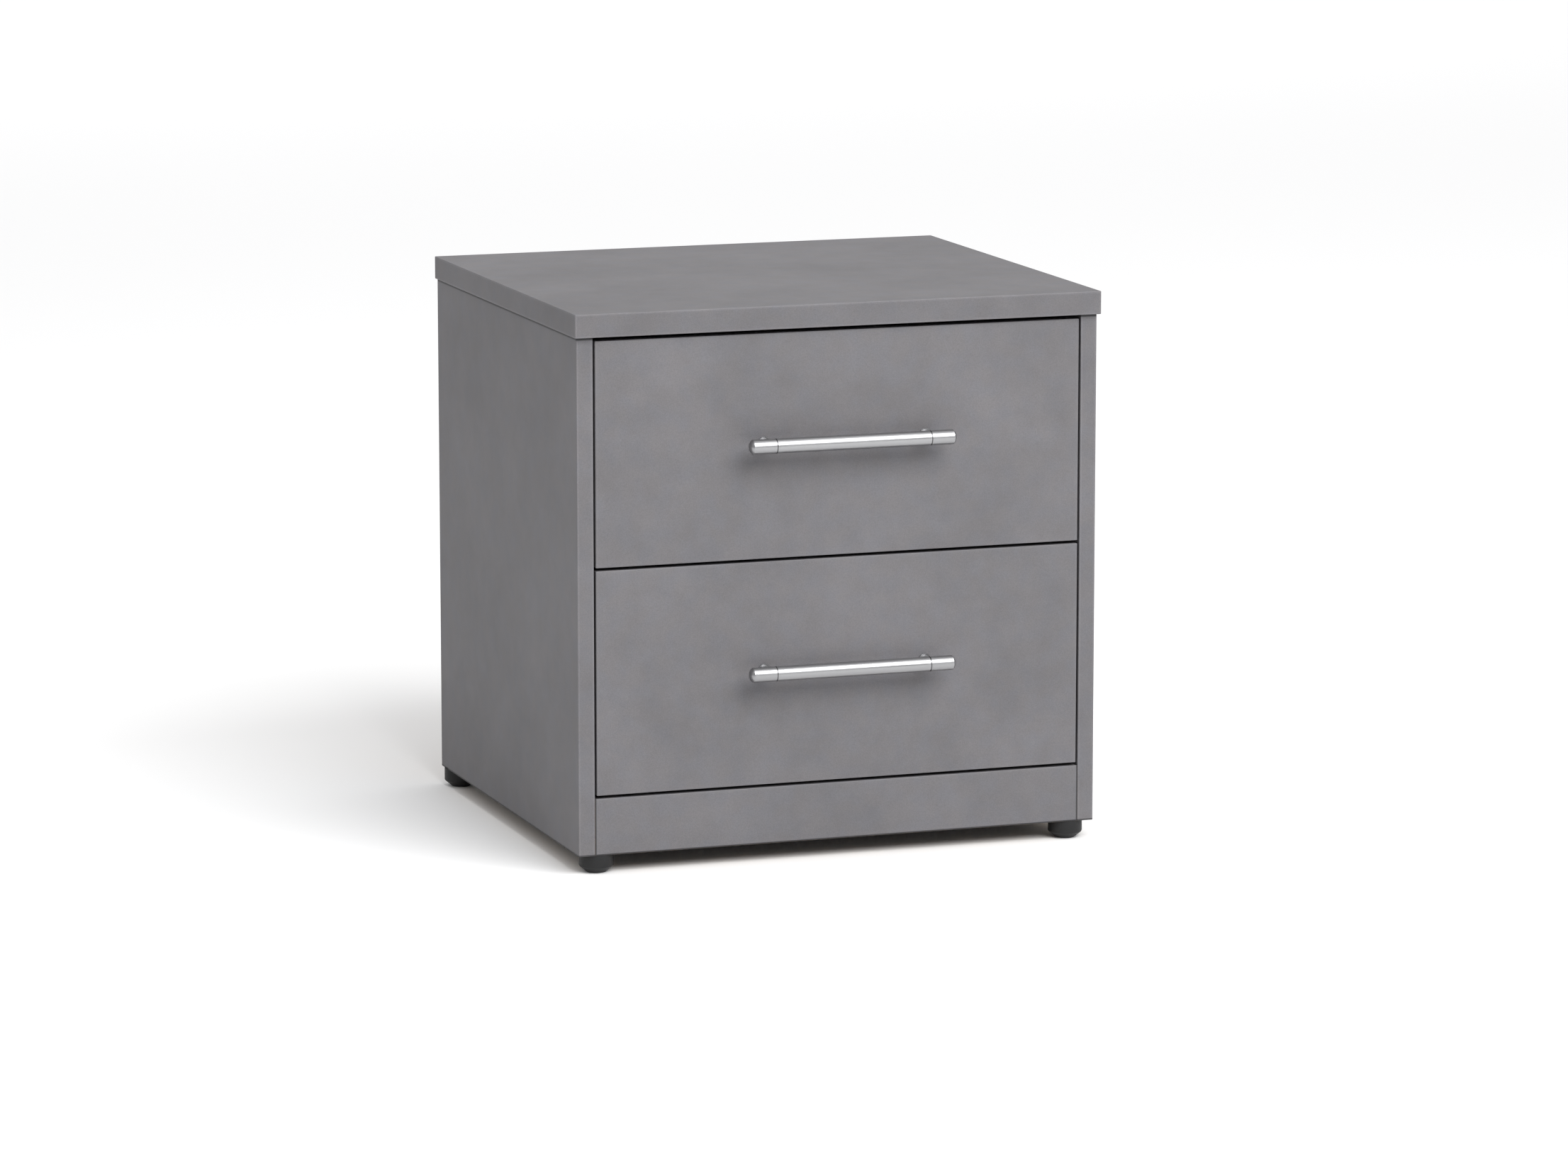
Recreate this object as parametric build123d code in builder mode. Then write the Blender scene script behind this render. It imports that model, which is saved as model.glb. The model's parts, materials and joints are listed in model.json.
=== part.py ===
"""Nightstand with two inset drawers on roller runners, with bar handles and round corner feet.

Millimetres. +Z is up, the drawers face -Y, and the origin is on the floor under the middle
of the whole object, handles included.
"""

import os
from build123d import *

os.makedirs("parts", exist_ok=True)

# ---------------------------------------------------------------- driving sizes
# Top and carcass
top_width = 520.0
top_depth = 460.0
top_thickness = 22.0
side_height = 488.0
board = 16.0  # thickness of every carcass board and drawer front
side_overhang = 2.5  # the top passes each side panel by this
front_overhang = 5.0  # the top passes the front edges of the side panels by this
edge_radius = 0.8  # rounding of the banded edges that show
plinth_height = 54.0
top_rail_height = 60.0

# Back panel, a thin hardboard sheet in grooves
back_thickness = 3.0
back_inset = 10.0  # from the back edges of the side panels to the sheet
groove_depth = 6.0
groove_play = 0.2  # a groove is this much wider than its sheet
sheet_end_gap = 0.5  # between a sheet's edge and the bottom of its groove

# Feet: a round glide with an angle plate that is screwed into the inner corner
foot_height = 18.0
foot_radius = 16.3
foot_chamfer_height = 6.0
foot_chamfer_width = 7.0
foot_axis = {"front": (22.0, 16.5), "rear": (15.0, 16.5)}  # in from the outer face, and from the end
foot_plate_length = 24.0
foot_plate_height = 22.0
foot_plate_thickness = 3.0
foot_screw_offset = 14.0  # from the inner corner to each screw
foot_screw_rise = 14.0

# Drawers
top_gap = 4.0  # under the top
front_gap = 3.0  # between the fronts, and over the plinth
front_side_gap = 2.0
drawer_board = 12.0
drawer_side_height = 150.0
drawer_rear_gap = 10.0  # behind the drawer box, to the rear top rail
drawer_lift = 14.0  # from the bottom edge of a front to the drawer side's bottom edge
drawer_bottom_thickness = 3.0
drawer_bottom_rise = 10.0  # from the drawer side's bottom edge to the bottom sheet
drawer_overlap = 100.0  # length of a drawer's runners that stays in the carcass when it is open

# Roller runners
runner_space = 12.5  # between a drawer side and the side panel
runner_setback = 3.0  # cabinet member, behind the back face of a drawer front
sheet_metal = 1.2
roller_radius = 9.0
roller_width = 6.5
roller_rim = 1.8
roller_dish_depth = 1.1
roller_clearance = 0.06  # between a roller's bore and its axle
roller_window = 5.0  # between the cabinet roller and the channel's upper flange
roller_inset = 12.0  # from the runner's end to the roller's axis
roller_play = 0.3  # between a roller and the track it rolls on
roller_offset = 2.5  # from the side panel to the cabinet roller's outer face
channel_depth = 10.5  # how far the channel's flanges reach from the side panel
channel_play = 1.0  # how much higher the channel is than its roller
track_rise = 20.0  # from the drawer side's bottom edge to the drawer member's track
track_clearance = 0.5  # between the channel's upper flange and the track
track_inset = 3.8  # from the side panel to the track's free edge
mounting_web = 15.0  # how far the cabinet member rises over the track
mounting_screw_rise = 9.0
runner_screw_ends = (40.0, 50.0)  # from the runner's front and rear ends to its outer screws
stop_gap = 0.5
axle_radius = 2.48
axle_head_radius = 4.0
axle_head_thickness = 0.7
head_gap = 0.4  # between an axle's head and its roller

# Handles
handle_spacing = 160.0  # between the two screws
handle_end_length = 22.5  # from each post's axis to the end of the bar
handle_joint_inset = 4.0  # from each post's axis inward to the end of the tube
handle_radius = 7.0
handle_wall = 1.2
handle_reach = 23.0  # from the drawer front to the bar's axis
handle_rise = 3.5  # from the middle of the drawer front up to the bar's axis
handle_shift = 5.0  # from the middle of the drawer front to the bar's middle, to the right
handle_dome = 3.5  # how far the rounded ends stand out
handle_groove_width = 0.8
handle_groove_depth = 0.5
handle_spigot_length = 9.0
post_radius = 4.5
post_foot_radius = 6.0
post_foot_thickness = 1.6

# Where the carcass boards are joined, from the front and back edges of the side panels
top_dowel_inset = 45.0
top_cam_inset = 95.0
bottom_cam_inset = 85.0
bottom_dowel_inset = 135.0
rail_dowel_drop = 10.0  # under the top edge of a bottom rail
rail_cam_rise = 22.0  # over the bottom edge of a bottom rail
top_rail_dowel_drop = 16.0
top_rail_cam_rise = 20.0

# Where the drawer boards are joined, up from the bottom edge of the drawer sides
front_dowel_rises = (32.0, 90.0)
front_cam_rises = (56.0, 124.0)
back_dowel_rises = (30.0, 75.0, 120.0)

# Fasteners
dowel_radius = 4.0
dowel_in_face = 11.0
dowel_in_edge = 19.0
drawer_dowel_radius = 3.0
drawer_dowel_in_face = 8.0
drawer_dowel_in_edge = 16.0
cam_radius = 7.5
cam_setback = 34.0
drawer_cam_setback = 24.0
cam_skin = 3.5  # board left under a carcass cam
drawer_cam_skin = 2.5
cam_bolt_radius = 3.0
cam_bolt_channel = 3.5
cam_thread_radius = 2.5
cam_thread_length = 10.5
cam_slot_depth = 2.0
cam_slot_width = 1.6
cam_slot_length = 9.0
screw_radius = 1.75
screw_length = 13.0
screw_head_radius = 3.5
screw_head_height = 2.2
cross_width = 0.9
cross_length = 4.0
cross_depth = 1.1
handle_screw_radius = 2.0
handle_screw_hole = 2.5
handle_screw_bite = 8.0
handle_screw_head_radius = 4.2
handle_screw_head_height = 2.4
nail_radius = 0.8
nail_length = 18.0
nail_head_radius = 2.0
nail_head_height = 0.6
nail_columns = 5
nail_edge_gap = 10.0  # from the sheet's top and bottom edges
nail_end_gap = 30.0  # from the side panels to the outer nails

# ---------------------------------------------------------------- worked-out places
bar_front = handle_reach + handle_radius
body_width = top_width - 2 * side_overhang
body_depth = top_depth - front_overhang
front_y = -(body_depth + bar_front) / 2 + bar_front  # front plane of sides and drawer fronts
back_y = front_y + body_depth
outer_x = body_width / 2
inner_x = outer_x - board
floor_z = foot_height  # underside of the side panels
side_top = floor_z + side_height
plinth_top = floor_z + plinth_height
back_sheet_y = back_y - back_inset - back_thickness  # front face of the back sheet
rail_y = back_sheet_y - board  # front face of the two back rails
front_height = (side_height - plinth_height - top_gap - 2 * front_gap) / 2
front_x = inner_x - front_side_gap
lower_front_z = plinth_top + front_gap
upper_front_z = lower_front_z + front_height + front_gap
box_y = front_y + board  # back face of a drawer front, where the drawer sides start
box_x = inner_x - runner_space  # outer face of a drawer side
box_inner_x = box_x - drawer_board
box_back_y = rail_y - drawer_rear_gap
runner_length = box_back_y - box_y
drawer_travel = runner_length - drawer_overlap
cabinet_roller_y = box_y + runner_setback + roller_inset
drawer_roller_y = box_back_y - roller_inset
cam_depth = board - cam_skin
drawer_cam_depth = drawer_board - drawer_cam_skin
roller_bore_radius = axle_radius + roller_clearance
channel_height = 2 * roller_radius + channel_play
handle_tube_length = handle_spacing - 2 * handle_joint_inset
handle_half_length = handle_spacing / 2 + handle_end_length

tolerance = 0.01  # for picking edges by their place
SIDES = {"left": -1, "right": 1}
ENDS = {"front": 1, "rear": -1}  # the way inward along Y
DRAWERS = {"upper": upper_front_z, "lower": lower_front_z}
X, Y, Z = Vector(1, 0, 0), Vector(0, 1, 0), Vector(0, 0, 1)


# ---------------------------------------------------------------- building helpers
def block(low, high, mode=Mode.ADD):
    """A rectangular block between two opposite corners, in the part being built."""
    spans = [(min(a, b), max(a, b)) for a, b in zip(low, high)]
    with Locations(Vector(*[(a + b) / 2 for a, b in spans])):
        Box(*[b - a for a, b in spans], mode=mode)


def rod(start, direction, radius, length, mode=Mode.ADD):
    """A round rod from its start point along a direction, or a bore with Mode.SUBTRACT."""
    with Locations(Plane(origin=start, z_dir=direction)):
        Cylinder(radius, length, align=(Align.CENTER, Align.CENTER, Align.MIN), mode=mode)


def cross_recess(centre, direction, length, width, depth):
    """A cross slot cut into a head, from the centre of its face along the direction."""
    with Locations(Plane(origin=centre, z_dir=direction)):
        for size in ((length, width), (width, length)):
            Box(*size, depth, align=(Align.CENTER, Align.CENTER, Align.MIN), mode=Mode.SUBTRACT)


def finish(built, label):
    """Name a finished piece and write its file."""
    built.part.label = label
    export_step(built.part, f"parts/{label}.step")


def dowel_holes(joints, name, sizes):
    """Bore the board being built for its dowels. A joint is (face board, edge board, point, way in)."""
    radius, in_face, in_edge = sizes
    for face_board, edge_board, point, way in joints:
        if name == face_board:
            rod(point, -way, radius, in_face, Mode.SUBTRACT)
        if name == edge_board:
            rod(point, way, radius, in_edge, Mode.SUBTRACT)


def cam_holes(joints, name, setback, depth, half_thickness):
    """Bore the board being built for its cams and bolts."""
    for face_board, edge_board, point, way, opening in joints:
        if name == face_board:
            rod(point, -way, cam_thread_radius, cam_thread_length, Mode.SUBTRACT)
        if name == edge_board:
            rod(point, way, cam_bolt_channel, setback, Mode.SUBTRACT)
            mouth = point + way * setback + opening * half_thickness
            rod(mouth, -opening, cam_radius, depth, Mode.SUBTRACT)


def dowel_group(joints, sizes):
    """One wooden dowel across each joint, in the part being built."""
    radius, in_face, in_edge = sizes
    for _, _, point, way in joints:
        rod(point - way * in_face, way, radius, in_face + in_edge)


def cam_group(joints, setback, depth, half_board):
    """One cam housing per joint: a disc with a bore for its bolt and a cross recess on its face."""
    for _, _, point, way, opening in joints:
        centre = point + way * setback
        rod(centre + opening * half_board, -opening, cam_radius, depth)
        rod(centre - way * cam_radius, way, cam_bolt_channel, cam_radius + cam_bolt_channel, Mode.SUBTRACT)
        face = centre + opening * half_board
        cross_recess(face, -opening, cam_slot_length, cam_slot_width, cam_slot_depth)


def bolt_group(joints, setback):
    """One cam bolt per joint: a thread in the face board and a shank that ends inside the cam."""
    for _, _, point, way, _ in joints:
        rod(point - way * cam_thread_length, way, cam_thread_radius, cam_thread_length)
        rod(point, way, cam_bolt_radius, setback + cam_bolt_radius)


def screw(seat, way):
    """A pan-head wood screw whose head rests on its seat, with the shank going the given way."""
    rod(seat, way, screw_radius, screw_length)
    rod(seat, -way, screw_head_radius, screw_head_height)
    cross_recess(seat - way * screw_head_height, way, cross_length, cross_width, cross_depth)


# ---------------------------------------------------------------- where the fasteners go
carcass_dowels_at = []
carcass_cams_at = []
dowel_sizes = (dowel_radius, dowel_in_face, dowel_in_edge)
half_board = board / 2
plinth_mid = front_y + half_board
rail_mid = rail_y + half_board
bottom_mid_z = plinth_top - half_board
rail_dowel_z = plinth_top - rail_dowel_drop
rail_cam_z = floor_z + rail_cam_rise
top_rail_z = side_top - top_rail_height
top_rail_dowel_z = side_top - top_rail_dowel_drop
top_rail_cam_z = top_rail_z + top_rail_cam_rise


def at_both_ends(inset):
    """The two places along the depth of a side panel that lie this far in from its ends."""
    return front_y + inset, back_y - inset


for side_name, s in SIDES.items():
    panel = f"{side_name}_side_panel"
    inward = X * -s
    wall = s * inner_x
    panel_mid = s * (outer_x - half_board)
    for y in at_both_ends(top_cam_inset):
        carcass_cams_at.append(("top_panel", panel, Vector(panel_mid, y, side_top), -Z, inward))
    for y in at_both_ends(top_dowel_inset):
        carcass_dowels_at.append(("top_panel", panel, Vector(panel_mid, y, side_top), -Z))
    for y in at_both_ends(bottom_cam_inset):
        carcass_cams_at.append((panel, "bottom_panel", Vector(wall, y, bottom_mid_z), inward, -Z))
    for y in at_both_ends(bottom_dowel_inset):
        carcass_dowels_at.append((panel, "bottom_panel", Vector(wall, y, bottom_mid_z), inward))
    for rail, y, dowel_z, cam_z, opening in (
        ("plinth_rail", plinth_mid, rail_dowel_z, rail_cam_z, Y),
        ("rear_bottom_rail", rail_mid, rail_dowel_z, rail_cam_z, -Y),
        ("rear_top_rail", rail_mid, top_rail_dowel_z, top_rail_cam_z, -Y),
    ):
        carcass_dowels_at.append((panel, rail, Vector(wall, y, dowel_z), inward))
        carcass_cams_at.append((panel, rail, Vector(wall, y, cam_z), inward, opening))


def carcass_holes(name):
    """Bore a carcass board for every dowel and cam fitting that meets it."""
    dowel_holes(carcass_dowels_at, name, dowel_sizes)
    cam_holes(carcass_cams_at, name, cam_setback, cam_depth, half_board)


# Heights of the runner parts over the drawer side's bottom edge
channel_floor = track_rise - track_clearance - sheet_metal - channel_height
cabinet_roller_rise = track_rise - roller_play - roller_radius
drawer_roller_rise = channel_floor + roller_play + roller_radius
first_screw_y = box_y + runner_screw_ends[0]
last_screw_y = box_back_y - runner_screw_ends[1]
runner_screws_y = (first_screw_y, (first_screw_y + last_screw_y) / 2, last_screw_y)
channel_start = cabinet_roller_y + roller_radius + roller_window
open_stop_y = drawer_roller_y - drawer_travel - roller_radius - stop_gap
closed_stop_y = drawer_roller_y + roller_radius + stop_gap

# ---------------------------------------------------------------- carcass boards
with BuildPart() as top_panel:
    block(
        (-top_width / 2, front_y - front_overhang, side_top),
        (top_width / 2, back_y, side_top + top_thickness),
    )
    fillet(top_panel.edges(), edge_radius)
    carcass_holes("top_panel")
finish(top_panel, "top_panel")

for side_name, s in SIDES.items():
    with BuildPart() as side_panel:
        block((s * inner_x, front_y, floor_z), (s * outer_x, back_y, side_top))
        fillet(side_panel.edges().filter_by(Axis.Z), edge_radius)
        block(
            (s * inner_x, back_sheet_y, floor_z),
            (s * (inner_x + groove_depth), back_sheet_y + back_thickness + groove_play, side_top),
            Mode.SUBTRACT,
        )
        carcass_holes(f"{side_name}_side_panel")
        for front_z in DRAWERS.values():
            for y in runner_screws_y:
                seat_z = front_z + drawer_lift + track_rise + mounting_screw_rise
                bore_length = screw_length - sheet_metal
                rod(Vector(s * inner_x, y, seat_z), X * s, screw_radius, bore_length, Mode.SUBTRACT)
        for end in ENDS.values():
            corner_y = box_y if end == 1 else rail_y
            screw_point = Vector(s * inner_x, corner_y + end * foot_screw_offset, floor_z + foot_screw_rise)
            rod(screw_point, X * s, screw_radius, screw_length - foot_plate_thickness, Mode.SUBTRACT)
    finish(side_panel, f"{side_name}_side_panel")

with BuildPart() as bottom_panel:
    block((-inner_x, box_y, plinth_top - board), (inner_x, rail_y, plinth_top))
    carcass_holes("bottom_panel")
finish(bottom_panel, "bottom_panel")


def rail_foot_screws(face_y, way):
    """Bore a rail for the screw of each of its two feet."""
    for s in SIDES.values():
        point = Vector(s * (inner_x - foot_screw_offset), face_y, floor_z + foot_screw_rise)
        rod(point, way, screw_radius, screw_length - foot_plate_thickness, Mode.SUBTRACT)


with BuildPart() as plinth_rail:
    block((-inner_x, front_y, floor_z), (inner_x, box_y, plinth_top))
    front_edges = plinth_rail.edges().filter_by(Axis.X).group_by(Axis.Y)[0]
    fillet(front_edges, edge_radius)
    carcass_holes("plinth_rail")
    rail_foot_screws(box_y, -Y)
finish(plinth_rail, "plinth_rail")

nail_step = 2 * (inner_x - nail_end_gap) / (nail_columns - 1)
nail_columns_x = [-inner_x + nail_end_gap + i * nail_step for i in range(nail_columns)]
nail_rows_z = {"rear_bottom_rail": floor_z + nail_edge_gap, "rear_top_rail": side_top - nail_edge_gap}


def nail_holes(rail_name):
    """Bore a back rail for the nails that hold the back sheet."""
    for x in nail_columns_x:
        depth = nail_length - back_thickness
        rod(Vector(x, back_sheet_y, nail_rows_z[rail_name]), -Y, nail_radius, depth, Mode.SUBTRACT)


with BuildPart() as rear_bottom_rail:
    block((-inner_x, rail_y, floor_z), (inner_x, back_sheet_y, plinth_top))
    carcass_holes("rear_bottom_rail")
    rail_foot_screws(rail_y, Y)
    nail_holes("rear_bottom_rail")
finish(rear_bottom_rail, "rear_bottom_rail")

with BuildPart() as rear_top_rail:
    block((-inner_x, rail_y, top_rail_z), (inner_x, back_sheet_y, side_top))
    carcass_holes("rear_top_rail")
    nail_holes("rear_top_rail")
finish(rear_top_rail, "rear_top_rail")

# ---------------------------------------------------------------- back sheet and its nails
sheet_half_width = inner_x + groove_depth - sheet_end_gap
nail_seats = [
    Vector(x, back_sheet_y + back_thickness, z) for x in nail_columns_x for z in nail_rows_z.values()
]

with BuildPart() as back_panel:
    block(
        (-sheet_half_width, back_sheet_y, floor_z),
        (sheet_half_width, back_sheet_y + back_thickness, side_top),
    )
    for seat in nail_seats:
        rod(seat, -Y, nail_radius, back_thickness, Mode.SUBTRACT)
finish(back_panel, "back_panel")

with BuildPart() as back_panel_nails:
    for seat in nail_seats:
        rod(seat, -Y, nail_radius, nail_length)
        rod(seat, Y, nail_head_radius, nail_head_height)
finish(back_panel_nails, "back_panel_nails")

# ---------------------------------------------------------------- carcass fasteners
with BuildPart() as carcass_dowels:
    dowel_group(carcass_dowels_at, dowel_sizes)
finish(carcass_dowels, "carcass_dowels")

with BuildPart() as carcass_cams:
    cam_group(carcass_cams_at, cam_setback, cam_depth, half_board)
finish(carcass_cams, "carcass_cam_housings")

with BuildPart() as carcass_bolts:
    bolt_group(carcass_cams_at, cam_setback)
finish(carcass_bolts, "carcass_cam_bolts")

# ---------------------------------------------------------------- feet
for end_name, end in ENDS.items():
    corner_y = box_y if end == 1 else rail_y
    for side_name, s in SIDES.items():
        corner = Vector(s * inner_x, corner_y, floor_z)
        axis_x = s * (outer_x - foot_axis[end_name][0])
        axis_y = (front_y if end == 1 else back_y) + end * foot_axis[end_name][1]
        with BuildPart() as foot:
            with BuildSketch(Plane(origin=(axis_x, axis_y, 0), x_dir=(1, 0, 0), z_dir=(0, -1, 0))):
                with BuildLine():
                    Polyline(
                        (0, 0),
                        (foot_radius - foot_chamfer_width, 0),
                        (foot_radius, foot_chamfer_height),
                        (foot_radius, foot_height),
                        (0, foot_height),
                        close=True,
                    )
                make_face()
            revolve(axis=Axis((axis_x, axis_y, 0), (0, 0, 1)))
            rim_edges = foot.edges().filter_by(GeomType.CIRCLE).sort_by(Axis.Z)[0:2]
            fillet(rim_edges, foot_plate_thickness / 2)
            base_high = (corner.X - s * foot_plate_length, corner.Y + end * foot_plate_length)
            block(corner, (*base_high, floor_z + foot_plate_thickness))
            block(
                corner,
                (corner.X - s * foot_plate_thickness, base_high[1], floor_z + foot_plate_height),
            )
            block(
                corner,
                (base_high[0], corner.Y + end * foot_plate_thickness, floor_z + foot_plate_height),
            )
            side_hole = corner + Vector(0, end * foot_screw_offset, foot_screw_rise)
            rail_hole = corner + Vector(-s * foot_screw_offset, 0, foot_screw_rise)
            rod(side_hole, X * -s, screw_radius, foot_plate_thickness, Mode.SUBTRACT)
            rod(rail_hole, Y * end, screw_radius, foot_plate_thickness, Mode.SUBTRACT)
        finish(foot, f"{end_name}_{side_name}_foot")

# ---------------------------------------------------------------- cabinet runners
for drawer_name, front_z in DRAWERS.items():
    edge_z = front_z + drawer_lift  # bottom edge of the drawer side
    floor = edge_z + channel_floor
    track_z = edge_z + track_rise
    start_y = box_y + runner_setback
    end_y = start_y + runner_length
    for side_name, s in SIDES.items():
        wall = s * inner_x
        web = wall - s * sheet_metal
        with BuildPart() as cabinet_runner:
            block((wall, start_y, floor - sheet_metal), (web, end_y, track_z + mounting_web))
            block(
                (wall, start_y, floor - sheet_metal),
                (wall - s * channel_depth, end_y, floor),
            )
            block(
                (wall, channel_start, floor + channel_height),
                (wall - s * channel_depth, end_y, floor + channel_height + sheet_metal),
            )
            bends = cabinet_runner.edges().filter_by(Axis.Y).sort_by(Axis.Z)
            inner_bends = [
                e for e in bends if abs(e.center().X - web) < tolerance and e.center().Z < track_z
            ]
            fillet(inner_bends, sheet_metal / 2)
            for stop_y in (open_stop_y - sheet_metal, closed_stop_y):
                block(
                    (wall - s * roller_offset, stop_y, floor),
                    (wall - s * (roller_offset + roller_width), stop_y + sheet_metal, floor + roller_radius),
                )
            axle_point = Vector(wall, cabinet_roller_y, edge_z + cabinet_roller_rise)
            rod(axle_point, X * -s, axle_radius, sheet_metal, Mode.SUBTRACT)
            for y in runner_screws_y:
                hole = Vector(wall, y, track_z + mounting_screw_rise)
                rod(hole, X * -s, screw_radius, sheet_metal, Mode.SUBTRACT)
        finish(cabinet_runner, f"{drawer_name}_{side_name}_cabinet_runner")


def roller(centre_outer, way):
    """A roller with dished faces, a hub and a running bore, from its outer face along its axis."""
    rod(centre_outer, way, roller_radius, roller_width)
    for face, turn in ((centre_outer, way), (centre_outer + way * roller_width, -way)):
        with Locations(Plane(origin=face, z_dir=turn)):
            dish = (Align.CENTER, Align.CENTER, Align.MIN)
            Cylinder(roller_radius - roller_rim, roller_dish_depth, align=dish, mode=Mode.SUBTRACT)
            Cylinder(axle_head_radius, roller_dish_depth, align=dish)
    rod(centre_outer, way, roller_bore_radius, roller_width, Mode.SUBTRACT)


for drawer_name, front_z in DRAWERS.items():
    for side_name, s in SIDES.items():
        outer_face = s * (inner_x - roller_offset)
        edge_z = front_z + drawer_lift
        with BuildPart() as cabinet_roller:
            roller(Vector(outer_face, cabinet_roller_y, edge_z + cabinet_roller_rise), X * -s)
        finish(cabinet_roller, f"{drawer_name}_{side_name}_cabinet_roller")
        with BuildPart() as drawer_roller:
            roller(Vector(outer_face, drawer_roller_y, edge_z + drawer_roller_rise), X * -s)
        finish(drawer_roller, f"{drawer_name}_{side_name}_drawer_roller")

with BuildPart() as cabinet_axles:
    for front_z in DRAWERS.values():
        for s in SIDES.values():
            root = Vector(s * inner_x, cabinet_roller_y, front_z + drawer_lift + cabinet_roller_rise)
            shank = roller_offset + roller_width + head_gap
            rod(root, X * -s, axle_radius, shank)
            rod(root - X * s * shank, X * -s, axle_head_radius, axle_head_thickness)
finish(cabinet_axles, "cabinet_roller_axles")

with BuildPart() as board_screws:
    for front_z in DRAWERS.values():
        for s in SIDES.values():
            for y in runner_screws_y:
                seat_z = front_z + drawer_lift + track_rise + mounting_screw_rise
                screw(Vector(s * (inner_x - sheet_metal), y, seat_z), X * s)
    for end in ENDS.values():
        corner_y = box_y if end == 1 else rail_y
        for s in SIDES.values():
            seat = Vector(s * inner_x, corner_y, floor_z + foot_screw_rise)
            plate = foot_plate_thickness
            screw(seat + Vector(-s * plate, end * foot_screw_offset, 0), X * s)
            screw(seat + Vector(-s * foot_screw_offset, end * plate, 0), Y * -end)
finish(board_screws, "carcass_screws")

# ---------------------------------------------------------------- drawers
drawer_dowel_sizes = (drawer_dowel_radius, drawer_dowel_in_face, drawer_dowel_in_edge)
half_drawer_board = drawer_board / 2
screw_line_x = box_x - (drawer_board - groove_depth) / 2  # clear of the bottom sheet's groove
bar_y = front_y - handle_reach

for drawer_name, front_z in DRAWERS.items():
    edge_z = front_z + drawer_lift
    box_top = edge_z + drawer_side_height
    sheet_z = edge_z + drawer_bottom_rise
    sheet_x = box_inner_x + groove_depth - sheet_end_gap
    sheet_front = box_y - groove_depth + sheet_end_gap
    sheet_back = box_back_y - drawer_board + groove_depth - sheet_end_gap
    bar_z = front_z + front_height / 2 + handle_rise
    track_z = edge_z + track_rise

    dowels_at = []
    cams_at = []
    for side_name, s in SIDES.items():
        side_mid = s * (box_x - half_drawer_board)
        for rise in front_dowel_rises:
            dowels_at.append(("front", side_name, Vector(side_mid, box_y, edge_z + rise), Y))
        for rise in front_cam_rises:
            cams_at.append(("front", side_name, Vector(side_mid, box_y, edge_z + rise), Y, X * s))
        for rise in back_dowel_rises:
            corner = Vector(s * box_inner_x, box_back_y - half_drawer_board, edge_z + rise)
            dowels_at.append((side_name, "back", corner, X * -s))

    def drawer_holes(name):
        """Bore a board of this drawer for its dowels and cam fittings."""
        dowel_holes(dowels_at, name, drawer_dowel_sizes)
        cam_holes(cams_at, name, drawer_cam_setback, drawer_cam_depth, half_drawer_board)

    def sheet_groove():
        """Cut the groove for the bottom sheet into the board being built."""
        block(
            (-box_inner_x - groove_depth, box_y - groove_depth, sheet_z),
            (
                box_inner_x + groove_depth,
                box_back_y - drawer_board + groove_depth,
                sheet_z + drawer_bottom_thickness + groove_play,
            ),
            Mode.SUBTRACT,
        )

    with BuildPart() as drawer_front:
        block((-front_x, front_y, front_z), (front_x, box_y, front_z + front_height))
        fillet(drawer_front.edges(), edge_radius)
        sheet_groove()
        drawer_holes("front")
        for s in SIDES.values():
            hole = Vector(handle_shift + s * handle_spacing / 2, box_y, bar_z)
            rod(hole, -Y, handle_screw_hole, board, Mode.SUBTRACT)
    finish(drawer_front, f"{drawer_name}_drawer_front")

    for side_name, s in SIDES.items():
        with BuildPart() as drawer_side:
            block((s * box_inner_x, box_y, edge_z), (s * box_x, box_back_y, box_top))
            sheet_groove()
            drawer_holes(side_name)
            for y in runner_screws_y:
                hole = Vector(s * screw_line_x, y, edge_z)
                rod(hole, Z, screw_radius, screw_length - sheet_metal, Mode.SUBTRACT)
        finish(drawer_side, f"{drawer_name}_drawer_{side_name}_side")

    with BuildPart() as drawer_back:
        block((-box_inner_x, box_back_y - drawer_board, edge_z), (box_inner_x, box_back_y, box_top))
        sheet_groove()
        drawer_holes("back")
    finish(drawer_back, f"{drawer_name}_drawer_back")

    with BuildPart() as drawer_bottom:
        sheet_top = sheet_z + drawer_bottom_thickness
        block((-sheet_x, sheet_front, sheet_z), (sheet_x, sheet_back, sheet_top))
    finish(drawer_bottom, f"{drawer_name}_drawer_bottom")

    with BuildPart() as drawer_dowels:
        dowel_group(dowels_at, drawer_dowel_sizes)
    finish(drawer_dowels, f"{drawer_name}_drawer_dowels")

    with BuildPart() as drawer_cams:
        cam_group(cams_at, drawer_cam_setback, drawer_cam_depth, half_drawer_board)
        bolt_group(cams_at, drawer_cam_setback)
    finish(drawer_cams, f"{drawer_name}_drawer_cam_fittings")

    # Drawer members of the runners: a web on the drawer side, a flange under it, a track outside
    for side_name, s in SIDES.items():
        web = s * (box_x + sheet_metal)
        with BuildPart() as drawer_runner:
            block((s * box_x, box_y, edge_z - sheet_metal), (web, box_back_y, track_z + sheet_metal))
            block(
                (s * (box_x - drawer_board), box_y, edge_z - sheet_metal),
                (web, box_back_y, edge_z),
            )
            block(
                (s * box_x, box_y, track_z),
                (s * (inner_x - track_inset), box_back_y, track_z + sheet_metal),
            )
            axle_point = Vector(s * box_x, drawer_roller_y, edge_z + drawer_roller_rise)
            rod(axle_point, X * s, axle_radius, sheet_metal, Mode.SUBTRACT)
            for y in runner_screws_y:
                hole = Vector(s * screw_line_x, y, edge_z)
                rod(hole, -Z, screw_radius, sheet_metal, Mode.SUBTRACT)
        finish(drawer_runner, f"{drawer_name}_{side_name}_drawer_runner")

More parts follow.
